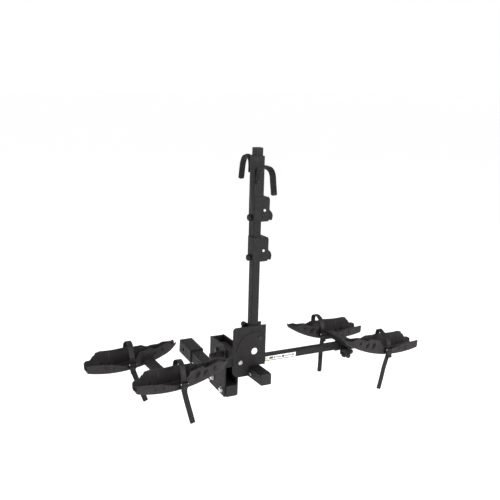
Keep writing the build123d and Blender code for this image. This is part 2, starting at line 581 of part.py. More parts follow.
for side, out in (("left", -1), ("right", 1)):
    arm_x = ARM_X[side]
    with BuildPart() as arm:
        with BuildSketch(xz(ROW_Y + ARM_REACH)):
            with Locations((arm_x, ARM_BOTTOM + ARM_H / 2)):
                RectangleRounded(ARM_W, ARM_H, 4.0)
                RectangleRounded(ARM_W - 5.0, ARM_H - 5.0, 2.0, mode=Mode.SUBTRACT)
        extrude(amount=2 * ARM_REACH)
    save(arm.part, f"{side}_arm_tube")

    # two legs under the arm straddle the crossbar, drawn together by the screw below it
    inner = BAR_DEPTH / 2 + SLIP
    half = inner + 4.5
    with BuildPart() as clamp:
        for a, b in ((-half, -inner), (inner, half)):
            block((arm_x - 19.0, arm_x + 19.0), (ROW_Y + a, ROW_Y + b), (128.0, ARM_BOTTOM))
        rod_y(arm_x, (ROW_Y + half, ROW_Y + half + 8.0), PINCH_Z, 10.0)
        rod_y(arm_x, (ROW_Y - half - 1.0, ROW_Y + half + 9.0), PINCH_Z, 5.2, Mode.SUBTRACT)
    save(clamp.part, f"{side}_clamp")

    with BuildPart() as star:
        knob_y = ROW_Y - half - 0.4
        rod_y(arm_x, (knob_y - 6.0, ROW_Y + half + 12.0), PINCH_Z, 4.8)
        rod_y(arm_x, (knob_y - 12.0, knob_y), PINCH_Z, 14.0)
        with BuildSketch(xz(knob_y - 9.0)):
            with Locations((arm_x, PINCH_Z)):
                with PolarLocations(21.0, 5, start_angle=18.0):
                    Circle(8.0)
                Circle(20.0)
        extrude(amount=17.0)
        rod_y(arm_x, (knob_y - 29.0, knob_y - 25.0), PINCH_Z, 12.0)
    save(star.part, f"{side}_star_knob")

    # bracket plates between the arm's ends and the facing walls of the two trays
    with BuildPart() as saddles:
        for row, away in (("near", -1), ("far", 1)):
            bottom, top, reach = BRACKET[side, row]
            ys = sorted((ROW_Y + away * ARM_REACH, ROW_Y + away * (ROW_OFFSET - TRAY_HALF)))
            block((arm_x - reach, arm_x + reach), ys, (bottom, top))
    save(saddles.part, f"{side}_brackets")

    for row, away in (("near", -1), ("far", 1)):
        row_y = ROW_Y + away * ROW_OFFSET
        low_x = TRAY_X[side, row]

        def at(s, up):
            return low_x - out * s, tray_bottom(s) + up

        with BuildPart() as tray:
            with BuildSketch(xz(row_y + TRAY_HALF)):
                with BuildLine():
                    Spline(*[at(s, 0.0) for s in FLOOR])
                    Line(at(TRAY_IN, 0.0), at(TRAY_IN, 6.0))
                    Spline(*[at(s, 6.0) for s in reversed(FLOOR)])
                    Line(at(TRAY_OUT, 6.0), at(TRAY_OUT, 0.0))
                make_face()
            extrude(amount=2 * TRAY_HALF)
            for wall, back in ((LOW_WALL, row_y - TRAY_HALF + TRAY_WALL), (HIGH_WALL, row_y + TRAY_HALF)):
                with BuildSketch(xz(back)):
                    with BuildLine():
                        Spline(*[at(s, 0.0) for s in FLOOR])
                        tops = [at(s, h) for s, h in reversed(wall)]
                        Polyline(at(TRAY_IN, 0.0), *tops, at(TRAY_OUT, 0.0))
                    make_face()
                    for s, up, length in UPRIGHT:
                        with Locations(Location(at(s, up), 90.0)):
                            SlotOverall(length, 4.0, mode=Mode.SUBTRACT)
                    for s, up, length in SLANTED:
                        with Locations(Location(at(s, up), 45.0)):
                            SlotOverall(length, 4.0, mode=Mode.SUBTRACT)
                extrude(amount=TRAY_WALL)
            # bevelled inboard tip
            for edge in (-1, 1):
                x, z = at(TRAY_IN, 0.0)
                with BuildSketch(Plane.XY.offset(z - 60.0)):
                    with BuildLine():
                        Polyline(
                            (x - out * 2.0, row_y + edge * (TRAY_HALF + 2.0)),
                            (x + out * 30.0, row_y + edge * (TRAY_HALF + 2.0)),
                            (x - out * 2.0, row_y + edge * (TRAY_HALF - 18.0)),
                            close=True,
                        )
                    make_face()
                extrude(amount=160.0, mode=Mode.SUBTRACT)
        save(tray.part, f"{side}_{row}_tray")

        # strap: fixed behind the high wall, over the wheel's place, through the buckle and hanging down
        strap_x = STRAP_X[side, row]
        base = tray_bottom((low_x - strap_x) * out)
        top = STRAP_TOP[side, row]
        behind = -TRAY_HALF - STRAP_T / 2 - 0.4
        front = TRAY_HALF + STRAP_T / 2 + 6.0
        loop = [
            (behind - 1.2, base + 18.0),
            (behind - 1.6, base + 45.0),
            (behind - 1.2, base + 76.0),
            (behind + 8.0, base + 90.0),
            (-4.0, top - STRAP_T / 2),
            (20.0, top - 12.0),
            (front - 2.4, base + 54.0),
            (front, base + 34.0),
            (front, base + 8.0),
        ]
        lean = radians(TAIL_LEAN[side, row])
        drop = (base + 8.0 - TAIL_TIP[side, row]) / cos(lean)
        tail = [(front, 2.0), (front, -10.0), (front + 3.0, -0.4 * drop), (front + 10.0, -0.72 * drop), (front + 15.0, -drop)]
        leaning = Plane(origin=(strap_x, 0, base + 8.0), x_dir=(0, 1, 0), z_dir=(cos(lean), 0, sin(lean)))
        with BuildPart() as strap:
            with BuildSketch(yz(strap_x - STRAP_W / 2)):
                with BuildLine():
                    ribbon([(row_y - d, z) for d, z in loop], STRAP_T)
                make_face()
            extrude(amount=STRAP_W)
            with BuildSketch(leaning):
                with BuildLine():
                    ribbon([(row_y - d, v) for d, v in tail], STRAP_T)
                make_face()
            extrude(amount=STRAP_W / 2, both=True)
        save(strap.part, f"{side}_{row}_strap")

        with BuildPart() as flap:
            pivot_y = row_y - TRAY_HALF - STRAP_T - 11.0
            rod_x((strap_x - 9.8, strap_x + 9.8), pivot_y, base + 28.0, 4.2)
            block((strap_x - 9.8, strap_x + 9.8), (pivot_y - 3.8, pivot_y - 0.6), (base - 6.0, base + 28.0))
            rod_x((strap_x - 10, strap_x + 10), pivot_y, base + 28.0, 2.46, Mode.SUBTRACT)
        save(flap.part, f"{side}_{row}_lever")

    with BuildPart() as buckles:
        for row, away in (("near", -1), ("far", 1)):
            face = ROW_Y + away * ROW_OFFSET - TRAY_HALF
            strap_x = STRAP_X[side, row]
            base = tray_bottom((TRAY_X[side, row] - strap_x) * out)
            block((strap_x - 13.0, strap_x + 13.0), (face - 5.4, face), (base + 10.0, base + 34.0))
            for a, b in ((-13.0, -10.4), (10.4, 13.0)):
                block((strap_x + a, strap_x + b), (face - STRAP_T - 15.0, face), (base + 10.0, base + 36.0))
            rod_x((strap_x - 14.5, strap_x + 14.5), face - STRAP_T - 11.0, base + 28.0, 2.4)
    save(buckles.part, f"{side}_buckles")
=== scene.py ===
import math

import bmesh
import bpy
from mathutils import Matrix, Vector


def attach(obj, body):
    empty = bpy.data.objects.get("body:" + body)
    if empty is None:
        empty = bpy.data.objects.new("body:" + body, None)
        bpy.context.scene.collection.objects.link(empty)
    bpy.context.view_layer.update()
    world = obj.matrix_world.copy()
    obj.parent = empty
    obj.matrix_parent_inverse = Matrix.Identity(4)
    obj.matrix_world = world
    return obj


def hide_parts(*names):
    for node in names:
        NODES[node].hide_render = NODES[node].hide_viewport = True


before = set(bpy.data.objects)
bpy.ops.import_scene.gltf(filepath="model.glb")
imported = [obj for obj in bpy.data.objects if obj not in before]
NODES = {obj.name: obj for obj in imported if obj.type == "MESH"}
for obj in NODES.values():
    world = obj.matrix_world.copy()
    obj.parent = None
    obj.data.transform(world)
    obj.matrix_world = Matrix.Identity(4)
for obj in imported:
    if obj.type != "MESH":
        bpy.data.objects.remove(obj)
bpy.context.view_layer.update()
MM = 0.001

# ---- sizes shared with the CAD, in millimetres --------------------------------------------------
ROW_Y = -607.0  # the mast stands here, midway between the two rows of trays
ROW = {"near": ROW_Y - 125.0, "far": ROW_Y + 125.0}
OUT = {"left": -1, "right": 1}

TRAY_BASE = 148.0
TRAY_R = 460.0
TRAY_HALF = 33.0
TRAY_OUT = -105.0
TRAY_IN = 245.0
TRAY_X = {
    ("left", "near"): -418.0,
    ("left", "far"): -518.0,
    ("right", "near"): 587.0,
    ("right", "far"): 482.0,
}

STRAP_X = {
    ("left", "near"): -357.0,
    ("left", "far"): -458.0,
    ("right", "near"): 533.0,
    ("right", "far"): 380.0,
}
STRAP_TOP = {
    ("left", "near"): 253.0,
    ("left", "far"): 255.0,
    ("right", "near"): 236.0,
    ("right", "far"): 254.0,
}
TAIL_TIP = {
    ("left", "near"): 31.0,
    ("left", "far"): 31.0,
    ("right", "near"): 22.0,
    ("right", "far"): 25.0,
}
TAIL_LEAN = {
    ("left", "near"): 13.0,
    ("left", "far"): 20.0,
    ("right", "near"): -19.8,
    ("right", "far"): -7.0,
}
STRAP_W = 20.0
STRAP_T = 3.4
FLAP_PIVOT_OUT = 14.4  # from the tray's wall
FLAP_PIVOT_UP = 28.0  # from the tray's floor

ARM_X = {"left": -395.0, "right": 420.0}
PINCH_Z = 141.0

BAR_FRONT = ROW_Y - 18.0
BAR_BACK = ROW_Y + 18.0
BAR_TOP = 172.0
PLATE_T = 5.0
PLATE_FRONT = BAR_FRONT - PLATE_T
PLATE_BACK = BAR_BACK + PLATE_T
PLATE_BOLT_X = -61.5
PLATE_BOLT_Z = 161.0
MAST_PIVOT_X = 21.0
MAST_PIVOT_Z = 249.0
MAST_PIN_X = -8.0
MAST_PIN_Z = 285.0

SPINE_HALF = 22.5
SPINE_Z = 117.5
SPINE_TOP = SPINE_Z + SPINE_HALF
SIDE_BOLT_Y = ROW_Y - 36.0
SIDE_BOLT_Z = 115.0

SHANK_HALF = 25.4
SHANK_RISE = math.radians(5.0)
SIDE_X = 31.4  # outer face of the riser plates
RISER_BOLTS = ((-408.0, -4.0), (-318.0, 11.0))  # along and above the shank's own line
TILT_PIVOT_Y = -357.0
TILT_PIN_Y = -410.0

HOOK_X = -8.0
HOOKS = {  # arm and drop, as (distance from the mast, height)
    "near": (
        [(21, 870), (29, 890), (46, 908), (75, 917), (96, 916)],
        [(95.5, 916), (104, 915.2), (112, 913), (124, 905), (132, 892), (136, 872), (141, 848), (146, 824)],
    ),
    "far": (
        [(33.5, 905), (38, 925), (48, 940), (62, 945), (76, 941)],
        [(75.5, 941.4), (83, 938.2), (91, 931), (100, 915), (105, 894), (109, 872), (113, 852)],
    ),
}
BLOCK_BOTTOM = {"near": 706.0, "far": 553.0}


# ---- materials ----------------------------------------------------------------------------------
def new_material(name, colour, rough, metallic=0.0, level=0.5):
    mat = bpy.data.materials.new(name)
    mat.use_nodes = True
    shader = mat.node_tree.nodes["Principled BSDF"]
    shader.inputs["Base Color"].default_value = (*colour, 1.0)
    shader.inputs["Roughness"].default_value = rough
    shader.inputs["Metallic"].default_value = metallic
    shader.inputs["Specular IOR Level"].default_value = level
    mat.diffuse_color = (*colour, 1.0)
    return mat, mat.node_tree, shader


def noise(tree, coords, scale, detail=2.0, rough=0.5):
    node = tree.nodes.new("ShaderNodeTexNoise")
    node.inputs["Scale"].default_value = scale
    node.inputs["Detail"].default_value = detail
    node.inputs["Roughness"].default_value = rough
    tree.links.new(coords.outputs["Object"], node.inputs["Vector"])
    return node.outputs["Fac"]


def ramp(tree, source, low, high, a, b):
    """Map a value between low and high onto two colours."""
    node = tree.nodes.new("ShaderNodeValToRGB")
    node.color_ramp.elements[0].position = low
    node.color_ramp.elements[1].position = high
    node.color_ramp.elements[0].color = (*a, 1.0)
    node.color_ramp.elements[1].color = (*b, 1.0)
    tree.links.new(source, node.inputs["Fac"])
    return node.outputs["Color"]


def product(tree, source):
    """A multiply node with its first factor connected, held between 0 and 1."""
    node = tree.nodes.new("ShaderNodeMath")
    node.operation = "MULTIPLY"
    node.use_clamp = True
    tree.links.new(source, node.inputs[0])
    return node


MIX_FACTOR, MIX_A, MIX_B, MIX_RESULT = 0, 6, 7, 2  # a Mix node's sockets for colours
DUST = (0.21, 0.2, 0.195, 1.0)


def dusted(tree, coords, colour, amount):
    """The colour with specks of dust on what faces up."""
    geometry = tree.nodes.new("ShaderNodeNewGeometry")
    split = tree.nodes.new("ShaderNodeSeparateXYZ")
    tree.links.new(geometry.outputs["Normal"], split.inputs[0])
    specks = product(tree, split.outputs["Z"])
    tree.links.new(noise(tree, coords, 210.0, 4.0, 0.7), specks.inputs[1])
    weak = product(tree, specks.outputs[0])
    weak.inputs[1].default_value = amount
    mix = tree.nodes.new("ShaderNodeMix")
    mix.data_type = "RGBA"
    mix.inputs[MIX_B].default_value = DUST
    tree.links.new(weak.outputs[0], mix.inputs[MIX_FACTOR])
    tree.links.new(colour, mix.inputs[MIX_A])
    return mix.outputs[MIX_RESULT]


def textured(name, dark, light, rough, grain, depth, metallic=0.0, dust=0.0, spread=0.12, level=0.5):
    """A mottled surface with uneven roughness and a fine grain."""
    mat, tree, shader = new_material(name, dark, rough, metallic, level)
    coords = tree.nodes.new("ShaderNodeTexCoord")
    colour = ramp(tree, noise(tree, coords, 38.0, 5.0, 0.6), 0.34, 0.68, dark, light)
    if dust:
        colour = dusted(tree, coords, colour, dust)
    tree.links.new(colour, shader.inputs["Base Color"])
    smoother, rougher = (rough - spread,) * 3, (min(rough + spread, 1.0),) * 3
    wear = ramp(tree, noise(tree, coords, 90.0, 3.0), 0.3, 0.7, smoother, rougher)
    tree.links.new(wear, shader.inputs["Roughness"])
    bump = tree.nodes.new("ShaderNodeBump")
    bump.inputs["Strength"].default_value = depth
    bump.inputs["Distance"].default_value = 0.0004
    tree.links.new(noise(tree, coords, grain, 2.0), bump.inputs["Height"])
    tree.links.new(bump.outputs["Normal"], shader.inputs["Normal"])
    return mat


COAT = textured(
    "powder_coat", (0.011, 0.01, 0.0101), (0.016, 0.0144, 0.0146), 0.58, 1500.0, 0.4, dust=0.03, level=0.2
)
MOULDED = textured(
    "moulded_charcoal", (0.0185, 0.0162, 0.0168), (0.026, 0.0229, 0.0237), 0.57, 2300.0, 0.35,
    dust=0.04, level=0.22
)
# a darker copy of the moulded plastic, put on the slots' cut sides: painted shade inside the slots
PAINTED_SLOT_SHADE = textured(
    "moulded_painted_shade", (0.004, 0.0036, 0.0038), (0.007, 0.0064, 0.0066), 0.7, 2300.0, 0.2, level=0.1
)
CAP = textured(
    "cap_plastic", (0.015, 0.0139, 0.0146), (0.0205, 0.019, 0.0198), 0.52, 2000.0, 0.3, dust=0.03, level=0.22
)
GRIP = textured(
    "grip_plastic", (0.0068, 0.0062, 0.0064), (0.0108, 0.01, 0.0102), 0.46, 2000.0, 0.25, level=0.22
)
RUBBER = textured(
    "rubber", (0.0065, 0.0058, 0.006), (0.0105, 0.0096, 0.0098), 0.55, 1200.0, 0.3, dust=0.02, level=0.2
)
STRAP = textured(
    "strap_rubber", (0.0085, 0.0074, 0.0078), (0.0135, 0.0122, 0.0126), 0.5, 1600.0, 0.25,
    dust=0.02, level=0.22
)
ZINC = textured(
    "bright_zinc", (0.62, 0.61, 0.6), (0.8, 0.79, 0.77), 0.27, 600.0, 0.2, metallic=1.0, spread=0.08
)
BLACK_OXIDE = textured(
    "black_oxide", (0.012, 0.011, 0.011), (0.02, 0.019, 0.019), 0.4, 900.0, 0.2, metallic=0.3
)
NYLON = textured("black_nylon", (0.014, 0.014, 0.014), (0.02, 0.02, 0.02), 0.5, 900.0, 0.2)
WELD = textured(
    "weld", (0.0145, 0.0135, 0.014), (0.02, 0.019, 0.0195), 0.5, 700.0, 0.4, dust=0.03, level=0.3
)
LABEL = textured("label", (0.74, 0.74, 0.74), (0.83, 0.83, 0.82), 0.34, 300.0, 0.1)
LABEL_INK = textured("label_ink", (0.05, 0.05, 0.055), (0.08, 0.08, 0.085), 0.4, 300.0, 0.05)
LABEL_TINT = textured("label_tint", (0.55, 0.56, 0.36), (0.62, 0.63, 0.42), 0.4, 300.0, 0.05)


# ---- mesh helpers -------------------------------------------------------------------------------
SHARP_ANGLE = 35.0


def new_object(name, data):
    obj = bpy.data.objects.new(name, data)
    bpy.context.scene.collection.objects.link(obj)
    return obj


def mesh_in_mm(name, verts, faces):
    mesh = bpy.data.meshes.new(name)
    mesh.from_pydata([tuple(c * MM for c in v) for v in verts], [], faces)
    return mesh


def clean(mesh, weld_distance, join_flat=False):
    """Weld doubled vertices and turn the faces outwards; join_flat also merges faces in one plane."""
    bm = bmesh.new()
    bm.from_mesh(mesh)
    bmesh.ops.remove_doubles(bm, verts=bm.verts, dist=weld_distance)
    if join_flat:
        bmesh.ops.dissolve_limit(bm, angle_limit=math.radians(1.0), verts=bm.verts, edges=bm.edges)
    bmesh.ops.recalc_face_normals(bm, faces=bm.faces)
    bm.to_mesh(mesh)
    bm.free()


def finish_piece(obj, body, stands_for, angle=SHARP_ANGLE):
    """Shade a piece, put it on its body and hide the CAD nodes that it stands for."""
    obj.data.shade_smooth()
    obj.data.set_sharp_from_angle(angle=math.radians(angle))
    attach(obj, body)
    if stands_for:
        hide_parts(*stands_for)


def build(name, verts, faces, mat, body, slot, stands_for=(), angle=SHARP_ANGLE):
    """A mesh from millimetre vertices, riding on a body."""
    mesh = mesh_in_mm(name, verts, faces)
    clean(mesh, 1e-6)
    mesh.materials.append(mat)
    obj = new_object(name, mesh)
    finish_piece(obj, body, stands_for, angle)
    return obj


def soften(node, body, mat, width):
    """A CAD node's shape again with rounded edges."""
    mesh = NODES[node].data.copy()
    mesh.name = node + "_finished"
    clean(mesh, 2e-5, join_flat=True)
    mesh.materials.clear()
    mesh.materials.append(mat)
    for face in mesh.polygons:
        face.material_index = 0
    obj = new_object(mesh.name, mesh)
    bevel = obj.modifiers.new("edges", "BEVEL")
    bevel.width = width * MM
    bevel.segments = 2
    bevel.limit_method = "ANGLE"
    bevel.angle_limit = math.radians(38.0)
    bevel.miter_outer = "MITER_ARC"
    finish_piece(obj, body, (node,))


def loft(rings):
    """Skin a list of equal closed rings and cap both ends; returns vertices and faces."""
    n = len(rings[0])
    verts = [tuple(p) for ring in rings for p in ring]
    faces = []
    for i in range(len(rings) - 1):
        for j in range(n):
            a, b = i * n + j, i * n + (j + 1) % n
            faces.append((a, b, b + n, a + n))
    faces.append(tuple(reversed(range(n))))
    faces.append(tuple(range((len(rings) - 1) * n, len(rings) * n)))
    return verts, faces


def merge(*parts):
    verts, faces = [], []
    for v, f in parts:
        base = len(verts)
        verts += v
        faces += [tuple(i + base for i in face) for face in f]
    return verts, faces


def place(part, origin, axis):
    """Stand a part built along +Z at origin, along axis."""
    verts, faces = part
    turn = Vector(axis).normalized().to_track_quat("Z", "Y")
    where = Vector(origin)
    return [tuple(turn @ Vector(v) + where) for v in verts], faces


def smooth_path(points, step):
    """Catmull-Rom line through points, at an even spacing of about step; returns it and its length."""
    ends = [points[0]] + list(points) + [points[-1]]
    fine = 24
    dense = []
    for i in range(1, len(ends) - 2):
        p0, p1, p2, p3 = (Vector(ends[k]) for k in (i - 1, i, i + 1, i + 2))
        for k in range(fine):
            t = k / fine
            bend = (2 * p0 - 5 * p1 + 4 * p2 - p3) * t * t
            dense.append(0.5 * ((2 * p1) + (p2 - p0) * t + bend + (3 * p1 - p0 - 3 * p2 + p3) * t ** 3))
    dense.append(Vector(points[-1]))
    length = [0.0]
    for a, b in zip(dense, dense[1:]):
        length.append(length[-1] + (b - a).length)
    count = max(2, round(length[-1] / step))
    out, k = [], 0
    for i in range(count + 1):
        want = length[-1] * i / count
        while k < len(length) - 2 and length[k + 1] < want:
            k += 1
        span = max(length[k + 1] - length[k], 1e-9)
        out.append(dense[k].lerp(dense[k + 1], (want - length[k]) / span))
    return out, length[-1]


def tangents(path):
    last = len(path) - 1
    return [(path[min(i + 1, last)] - path[max(i - 1, 0)]).normalized() for i in range(last + 1)]


def sweep(line, x, step, section):
    """Skin section(s, length) along a line of (y, z) points in the plane at x."""
    path, length = smooth_path([Vector((x, y, z)) for y, z in line], step)
    rings = []
    for i, (p, t) in enumerate(zip(path, tangents(path))):
        normal = Vector((0, -t.z, t.y))
        s = length * i / (len(path) - 1)
        rings.append([tuple(p + Vector((u, 0, 0)) + normal * v) for u, v in section(s, length)])
    return loft(rings)


def lathe(profile, segments=32, shape=None):
    """Turn (radius, height) pairs about +Z; shape(angle, radius) may change the radius."""
    rings = []
    for r, h in profile:
        ring = []
        for k in range(segments):
            a = 2 * math.pi * k / segments
            reach = shape(a, r) if shape else r
            ring.append((reach * math.cos(a), reach * math.sin(a), h))
        rings.append(ring)
    return loft(rings)


def rounded_box(lo, hi, r, steps=3):
    """Closed box with all edges rounded, from its low and high corners."""
    lo, hi = Vector(lo), Vector(hi)
    centre, half = (lo + hi) / 2, (hi - lo) / 2
    r = min(r, half.x * 0.98, half.y * 0.98, half.z * 0.98)
    layers = [(-1, math.pi / 2 * (1 - k / steps)) for k in range(steps + 1)]
    layers += [(1, math.pi / 2 * k / steps) for k in range(steps + 1)]
    rings = []
    for sign, a in layers:
        z = sign * (half.z - r + r * math.sin(a))
        corner = max(r * math.cos(a), 0.02 * r)
        ring = []
        for cx, cy, quarter in ((1, 1, 0), (-1, 1, 1), (-1, -1, 2), (1, -1, 3)):
            for k in range(steps + 1):
                b = (quarter + k / steps) * math.pi / 2
                x = cx * (half.x - r) + corner * math.cos(b)
                y = cy * (half.y - r) + corner * math.sin(b)
                ring.append(tuple(centre + Vector((x, y, z))))
        rings.append(ring)
    return loft(rings)


def arc(cx, cy, rx, ry, sweep_angle, steps=8):
    """Points from angle 0 round an ellipse."""
    angles = (sweep_angle * k / steps for k in range(steps + 1))
    return [(cx + rx * math.cos(a), cy + ry * math.sin(a)) for a in angles]


def oval(w, t, n=28, power=3.2):
    """Rounded oblong section."""
    ring = []
    for k in range(n):
        a = 2 * math.pi * k / n
        c, s = math.cos(a), math.sin(a)
        u = w / 2 * math.copysign(abs(c) ** (2 / power), c)
        v = t / 2 * math.copysign(abs(s) ** (2 / power), s)
        ring.append((u, v))
    return ring


def smoothstep(a, b, x):
    t = min(max((x - a) / (b - a), 0.0), 1.0)
    return t * t * (3 - 2 * t)


def eased(pairs, x):
    """Value at x of a line through (x, value) pairs, eased between them."""
    if x <= pairs[0][0]:
        return pairs[0][1]
    for (a, va), (b, vb) in zip(pairs, pairs[1:]):
        if x <= b:
            return va + (vb - va) * smoothstep(a, b, x)
    return pairs[-1][1]


def tray_bottom(s):
    """Height of a tray's floor at a distance s from its lowest point."""
    return TRAY_BASE + TRAY_R - math.sqrt(TRAY_R**2 - s**2)


def shank_point(along, up):
    """Y and Z of a point given in the shank's own sloping frame."""
    c, s = math.cos(SHANK_RISE), math.sin(SHANK_RISE)
    return along * c - up * s, along * s + up * c


# ---- bolts, nuts and welds ----------------------------------------------------------------------
WASHER_T = 2.0
PITCH = 1.75


def hex_head(across, height):
    """Hexagon head with a chamfered top; across is half the width across its flats."""
    def hexagon(a, r):
        sector = (a + math.pi / 6) % (math.pi / 3) - math.pi / 6
        return min(r, across / math.cos(sector))

    corner = across / math.cos(math.pi / 6)
    sides = [(corner, 0.0), (corner, height * 0.72), (corner * 0.985, height * 0.82), (across * 0.98, height)]
    dish = [(across * 0.55, height), (across * 0.5, height - 0.5), (0.01, height - 0.5)]
    return lathe(sides + dish, 48, hexagon)


def washer(radius, height):
    edge = [(radius - 0.4, 0.0), (radius, 0.3), (radius, height - 0.3), (radius - 0.4, height)]
    return lathe(edge + [(0.01, height)], 40)


def threaded(radius, length):
    """Threaded end: rounded turns and a chamfered tip."""
    rings = [(radius * 0.9, 0.0)]
    turns = int(length / PITCH)
    for k in range(turns):
        z = k * PITCH
        rings += [(radius, z + 0.45), (radius, z + 0.85), (radius * 0.88, z + 1.4)]
    rings += [(radius * 0.86, turns * PITCH + 0.2), (radius * 0.7, length + 0.6), (0.01, length + 0.6)]
    return lathe(rings, 24)


def bolt(origin, axis, across, height, ring):
    """Head on a washer, at origin and pointing along axis."""
    base = Vector(origin)
    top = base + Vector(axis) * WASHER_T
    return merge(place(washer(ring, WASHER_T), base, axis), place(hex_head(across, height), top, axis))


def nut(origin, axis, across, height, ring, radius, stub):
    """Nut on a washer, with the end of its thread."""
    end = Vector(origin) + Vector(axis) * (height + 1.4)
    return merge(bolt(origin, axis, across, height, ring), place(threaded(radius, stub), end, axis))


def weld(name, start, end, body, radius):
    """A laid bead between two points, with the ripple of its passes."""
    a, b = Vector(start), Vector(end)
    axis = (b - a).normalized()
    side = axis.orthogonal().normalized()
    up = axis.cross(side)
    length = (b - a).length
    count = max(8, int(length / 0.7))
    rings = []
    for i in range(count + 1):
        s = length * i / count
        taper = min(1.0, s / 2.5 + 0.25, (length - s) / 2.5 + 0.25)
        r = radius * (1 + 0.08 * math.cos(2 * math.pi * s / 3.1)) * taper
        centre = a + axis * s
        angles = [k * math.pi / 6 for k in range(12)]
        rings.append([tuple(centre + (side * math.cos(k) + up * math.sin(k)) * r) for k in angles])
    build(name, *loft(rings), WELD, body, "black_steel", (), 60.0)


# ---- straps -------------------------------------------------------------------------------------
TOOTH_PITCH = 6.4
TOOTH_RISE = 0.75


def strap_section(half, tooth):
    """Flat strap with raised rims and, where tooth isn't 0, a rung between them."""
    rim = STRAP_T / 2
    rung = rim - 0.9 + tooth
    flat = min(6.4, half * 0.62)
    left = [(-half, -rim + 0.7), (-half, rim - 0.6), (-half + 0.6, rim), (-flat - 0.8, rim), (-flat, rung)]
    right = [(flat, rung), (flat + 0.8, rim), (half - 0.6, rim), (half, rim - 0.6), (half, -rim + 0.7)]
    return left + right + [(half - 0.7, -rim), (-half + 0.7, -rim)]


def ladder_strap(side, row):
    """Strap from the high wall over the wheel and down through the buckle; returns the floor's height."""
    x, row_y, top = STRAP_X[side, row], ROW[row], STRAP_TOP[side, row]
    base = tray_bottom((TRAY_X[side, row] - x) * OUT[side])
    behind = -TRAY_HALF - STRAP_T / 2 - 0.4
    front = TRAY_HALF + STRAP_T / 2 + 6.0
    lean = math.radians(TAIL_LEAN[side, row])
    leave = base + 8.0
    drop = (leave - TAIL_TIP[side, row]) / math.cos(lean)
    rise = [(behind - 1.2, base + 10.0), (behind - 1.6, base + 45.0), (behind - 1.2, base + 76.0)]
    over = [(behind + 8.0, base + 90.0), (-4.0, top - STRAP_T / 2), (20.0, top - 12.0)]
    tail = [
        (front - 2.4, base + 54.0), (front, base + 34.0), (front, leave), (front + 0.4, base - 8.0),
        (front + 3.0, leave - 0.4 * drop), (front + 10.0, leave - 0.72 * drop), (front + 15.0, leave - drop),
    ]
    path, length = smooth_path([Vector((0.0, row_y - d, z)) for d, z in rise + over + tail], 1.3)
    rings = []
    for i, (p, t) in enumerate(zip(path, tangents(path))):
        s = length * i / (len(path) - 1)
        blunt = max(0.0, 1 - (length - s) / 4.0)
        toothed = s % TOOTH_PITCH < TOOTH_PITCH / 2 and 26.0 < s < length - 10.0
        # below the buckle the tail hangs at a lean
        below = max(0.0, leave - p.z) if s > length / 2 else 0.0
        turn = lean * smoothstep(0.0, 16.0, below)
        centre = Vector((x + math.sin(lean) * below, p.y, p.z + below - math.cos(lean) * below))
        across = Vector((math.cos(turn), 0, math.sin(turn)))
        along = Vector((-math.sin(turn) * t.z, t.y, math.cos(turn) * t.z))
        normal = across.cross(along).normalized()
        section = strap_section(STRAP_W / 2 - 2.6 * blunt ** 2, TOOTH_RISE if toothed else 0.0)
        rings.append([tuple(centre + across * u + normal * v) for u, v in section])
    arm = side + "_arm"
    build(f"{side}_{row}_strap_ladder", *loft(rings), STRAP, arm, "rubber", (f"{side}_{row}_strap",))

    # pad and rivet that hold the strap behind the high wall
    wall = row_y + TRAY_HALF
    rivet = lathe([(4.6, 0.0), (4.6, 0.5), (4.0, 1.5), (2.6, 2.2), (0.01, 2.4)], 28)
    rivet = place(rivet, (x, wall + 5.0, base + 22.0), (0, 1, 0))
    build(f"{side}_{row}_anchor_rivet", *rivet, ZINC, arm, "zinc")
    pad = rounded_box((x - 8.0, wall - 0.5, base + 12.0), (x + 8.0, wall + 2.2, base + 32.0), 1.0)
    build(f"{side}_{row}_anchor_pad", *pad, GRIP, arm, "buckle_plastic")
    return base


def buckle(side, row, base):
    """Ratchet buckle body on the low wall, and the heads of its axle."""
    wall = ROW[row] - TRAY_HALF
    x = STRAP_X[side, row]
    parts = [rounded_box((x - 13, wall - 5.4, base + 10), (x + 13, wall, base + 34), 1.5)]
    pins = []
    nose = arc(wall - 14.0, base + 31.0, -4.6, 5.0, 0.75 * math.pi)
    foot = [(wall, base + 10.0), (wall - 13.5, base + 10.0), (wall - 17.0, base + 13.5)]
    cheek = foot + nose + [(wall - 5.0, base + 36.0), (wall, base + 35.0)]
    for edge in (-1, 1):
        ends = sorted((x + edge * 10.4, x + edge * 13.0))
        parts.append(loft([[(end, y, z) for y, z in cheek] for end in ends]))
        head = lathe([(3.4, 0.0), (3.4, 0.9), (2.6, 1.6), (0.01, 1.8)], 24)
        spot = (x + edge * 12.9, wall - FLAP_PIVOT_OUT, base + FLAP_PIVOT_UP)
        pins.append(place(head, spot, (edge, 0, 0)))
    parts.append(rounded_box((x - 10.6, wall - 13.5, base + 10.5), (x + 10.6, wall - 11.5, base + 15.0), 0.8))
    return merge(*parts), merge(*pins)


